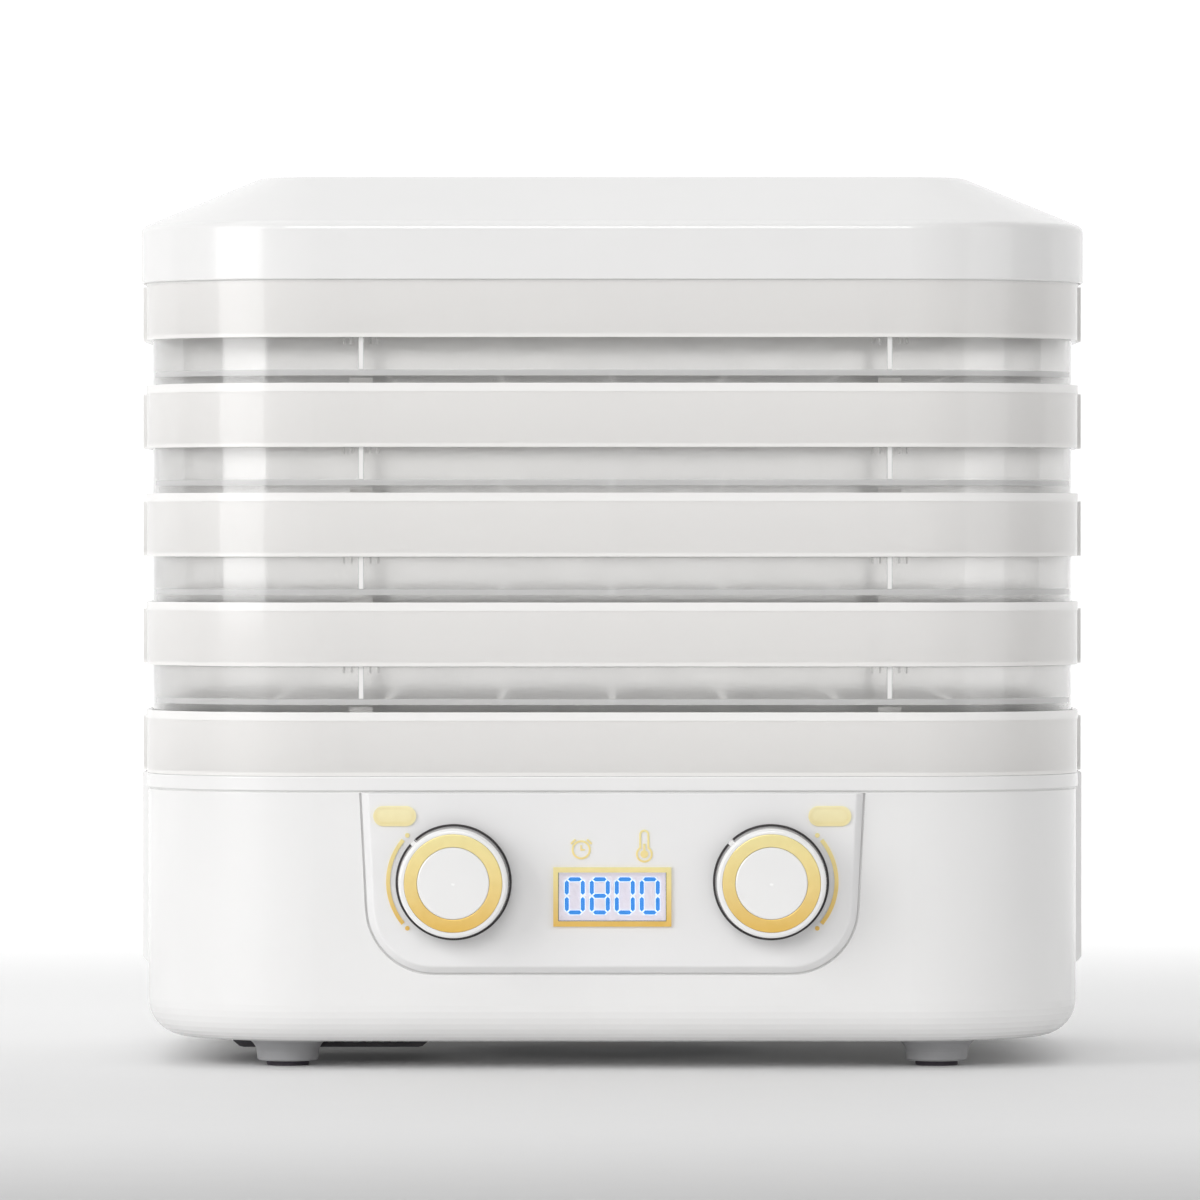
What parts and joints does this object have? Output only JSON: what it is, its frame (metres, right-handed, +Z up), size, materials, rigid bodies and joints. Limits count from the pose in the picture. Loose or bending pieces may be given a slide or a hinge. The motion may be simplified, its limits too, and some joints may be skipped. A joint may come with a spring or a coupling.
{
  "type": "food dehydrator",
  "caption": "Countertop food dehydrator: stacked translucent lift-off trays under a bevelled white lid, on a heated fan base with a display between two push-and-turn knobs.",
  "frame": {"origin": "centre of the overall footprint on the supporting surface", "axes": "+Z up, -Y towards the control panel, +X to the right as seen from the front"},
  "size_m": [0.3312, 0.2724, 0.3094],
  "materials": {
    "white_shell": "high-gloss white moulded ABS, a trace warm",
    "white_panel": "high-gloss white moulded panel",
    "lid_white": "high-gloss white moulded ABS",
    "tray_frost": "frosted translucent polypropylene, satin outside",
    "deck_white": "satin moulded deck",
    "floor_white": "satin moulded floor plate",
    "grille_grey": "satin grey moulded grille",
    "cover_grey": "dark grey satin cover",
    "foot_grey": "light grey satin moulded foot",
    "pad_rubber": "dark grey-violet rubber",
    "gold_trim": "metallised gold plastic, satin",
    "gold_print": "hot-stamped gold foil",
    "badge_gold": "pale gold embossed badge",
    "lens_clear": "clear glossy acrylic window",
    "display_body": "pale lavender display face",
    "digit_blue": "blue lit segments",
    "knob_white": "high-gloss white knob",
    "knob_grey": "dark grey band",
    "encoder_steel": "plated steel case",
    "rotor_tan": "phenolic contact rotor",
    "shaft_steel": "turned steel shaft",
    "board_green": "solder-masked circuit board",
    "transformer_core": "varnished transformer",
    "relay_blue": "blue relay case",
    "capacitor_black": "sleeved electrolytic",
    "lamination": "stacked steel laminations",
    "copper_coil": "enamelled copper winding",
    "bracket_zinc": "zinc-plated pressed steel",
    "bronze": "sintered bronze bush",
    "fan_dark": "glass-filled nylon fan",
    "shroud_steel": "aluminised sheet steel",
    "mica": "mica board",
    "heater_wire": "oxidised resistance wire",
    "sensor_metal": "nickel-plated sensor",
    "gland_white": "satin nylon bush",
    "wire_red": "silicone-insulated wire",
    "zinc_screw": "zinc-plated steel screw"
  },
  "bodies": {
    "base": {"top_ring": "white_shell", "top_deck": "deck_white", "base_shell": "white_shell", "base_floor": "floor_white", "intake_grille": "grille_grey", "side_vent_left": "white_shell", "side_vent_right": "white_shell", "underside_cover": "cover_grey", "foot_front_left": "foot_grey", "foot_front_right": "foot_grey", "foot_rear_left": "foot_grey", "foot_rear_right": "foot_grey", "foot_pads": "pad_rubber", "control_panel": "white_panel", "display_bezel": "gold_trim", "display_lens": "lens_clear", "display_module": "display_body", "display_digits": "digit_blue", "panel_print": "gold_print", "label_plates": "badge_gold", "encoder_left": "encoder_steel", "encoder_right": "encoder_steel", "encoder_nuts": "encoder_steel", "control_board": "board_green", "power_board": "board_green", "transformer": "transformer_core", "relay": "relay_blue", "capacitor": "capacitor_black", "motor_core": "lamination", "motor_coil": "copper_coil", "motor_bracket": "bracket_zinc", "motor_bushes": "bronze", "heater_shroud": "shroud_steel", "heater_frame": "mica", "heater_coil": "heater_wire", "thermal_cutoff": "sensor_metal", "temperature_probe": "sensor_metal", "cord_gland": "gland_white", "wiring": "wire_red", "screws": "zinc_screw"},
    "lid": {"lid": "lid_white"},
    "tray_1": {"tray_1": "tray_frost"},
    "tray_2": {"tray_2": "tray_frost"},
    "tray_3": {"tray_3": "tray_frost"},
    "tray_4": {"tray_4": "tray_frost"},
    "tray_5": {"tray_5": "tray_frost"},
    "encoder_rotor_left": {"encoder_rotor_left": "rotor_tan"},
    "knob_left": {"knob_left": "knob_white", "knob_trim_left": "knob_grey", "knob_ring_left": "gold_trim", "knob_cap_left": "knob_white", "encoder_shaft_left": "shaft_steel"},
    "encoder_rotor_right": {"encoder_rotor_right": "rotor_tan"},
    "knob_right": {"knob_right": "knob_white", "knob_trim_right": "knob_grey", "knob_ring_right": "gold_trim", "knob_cap_right": "knob_white", "encoder_shaft_right": "shaft_steel"},
    "fan": {"fan": "fan_dark", "motor_rotor": "shaft_steel"}
  },
  "joints": [
    {"name": "tray_5_lift", "type": "slide", "parent": "base", "child": "tray_5", "axis": [0, 0, 1], "range_m": [0, 0.05]},
    {"name": "tray_4_lift", "type": "slide", "parent": "tray_5", "child": "tray_4", "axis": [0, 0, 1], "range_m": [0, 0.05]},
    {"name": "tray_3_lift", "type": "slide", "parent": "tray_4", "child": "tray_3", "axis": [0, 0, 1], "range_m": [0, 0.05]},
    {"name": "tray_2_lift", "type": "slide", "parent": "tray_3", "child": "tray_2", "axis": [0, 0, 1], "range_m": [0, 0.05]},
    {"name": "tray_1_lift", "type": "slide", "parent": "tray_2", "child": "tray_1", "axis": [0, 0, 1], "range_m": [0, 0.05]},
    {"name": "lid_lift", "type": "slide", "parent": "tray_1", "child": "lid", "axis": [0, 0, 1], "range_m": [0, 0.12]},
    {"name": "knob_left_turn", "type": "hinge", "parent": "base", "child": "encoder_rotor_left", "pos_m": [-0.0545, -0.1203, 0.0653], "axis": [0, -1, 0], "continuous": true},
    {"name": "knob_left_press", "type": "slide", "parent": "encoder_rotor_left", "child": "knob_left", "axis": [0, 1, 0], "range_m": [0, 0.0008], "stiffness_N_per_m": 1500, "springref_m": -0.0006},
    {"name": "knob_right_turn", "type": "hinge", "parent": "base", "child": "encoder_rotor_right", "pos_m": [0.0545, -0.1203, 0.0653], "axis": [0, -1, 0], "continuous": true},
    {"name": "knob_right_press", "type": "slide", "parent": "encoder_rotor_right", "child": "knob_right", "axis": [0, 1, 0], "range_m": [0, 0.0008], "stiffness_N_per_m": 1500, "springref_m": -0.0006},
    {"name": "fan_spin", "type": "hinge", "parent": "base", "child": "fan", "pos_m": [0, 0.0082, 0.05], "axis": [0, 0, 1], "continuous": true}
  ]
}
